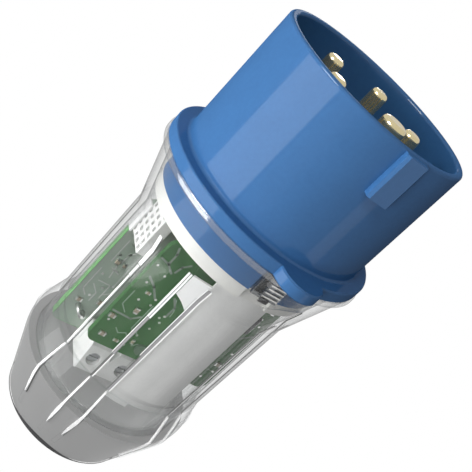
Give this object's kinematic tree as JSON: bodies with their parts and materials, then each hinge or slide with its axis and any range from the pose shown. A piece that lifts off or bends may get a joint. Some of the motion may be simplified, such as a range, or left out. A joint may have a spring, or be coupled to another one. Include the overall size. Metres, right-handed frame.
{
  "type": "industrial pin and sleeve plug",
  "caption": "Industrial pin and sleeve plug with round keyed shroud, brass contact pins, clear housing over circuit boards and a clear gland nut.",
  "frame": {"origin": "centre of the cable inlet at the tail end's face, on the plug's axis", "axes": "+Z along the plug's axis from the tail to the contact mouth; -Y towards the key rib, the lug and the earth pin"},
  "size_m": [0.0648, 0.0699, 0.131],
  "materials": {
    "blue_shell": "satin moulded",
    "dark_insulator": "matt",
    "contact_brass": "turned",
    "off_white": "matt",
    "screw_steel": "bright",
    "lead_metal": "stamped",
    "seal_rubber": "matt",
    "clear_shell": "clear polished",
    "catch_metal": "dark",
    "grey_insert": "satin",
    "board_green": "lacquered",
    "cover_grey": "satin",
    "block_white": "matt",
    "relay_blue": "gloss",
    "ferrite_dark": "matt",
    "can_black": "satin"
  },
  "bodies": {
    "plug_body": {"nose_shroud": "blue_shell", "contact_carrier": "dark_insulator", "contact_pin_l1": "contact_brass", "contact_pin_l2": "contact_brass", "contact_pin_l3": "contact_brass", "neutral_pin": "contact_brass", "earth_pin": "contact_brass", "contact_holder": "off_white", "holder_screws": "screw_steel", "contact_leads": "lead_metal", "nose_seal": "seal_rubber", "clear_housing": "clear_shell", "gland_insert": "grey_insert", "cable_seal": "seal_rubber", "main_board": "board_green", "rear_board": "board_green", "board_posts": "off_white", "inner_cover": "cover_grey", "terminal_block": "block_white", "terminal_screws": "screw_steel", "wire_clamps": "screw_steel", "board_header": "block_white", "power_relay": "relay_blue", "transformer": "ferrite_dark", "capacitors": "can_black", "control_chips": "can_black", "wire_link": "screw_steel"},
    "gland_nut": {"gland_nut": "clear_shell"},
    "lock_catch": {"lock_catch": "catch_metal"}
  },
  "joints": [
    {"name": "gland_nut_turn", "type": "hinge", "parent": "plug_body", "child": "gland_nut", "pos_m": [0, 0, 0.026], "axis": [0, 0, 1], "continuous": true},
    {"name": "catch_press", "type": "slide", "parent": "plug_body", "child": "lock_catch", "axis": [0, 1, 0], "range_m": [0, 0.0012], "stiffness_N_per_m": 300, "springref_m": -0.0005}
  ]
}
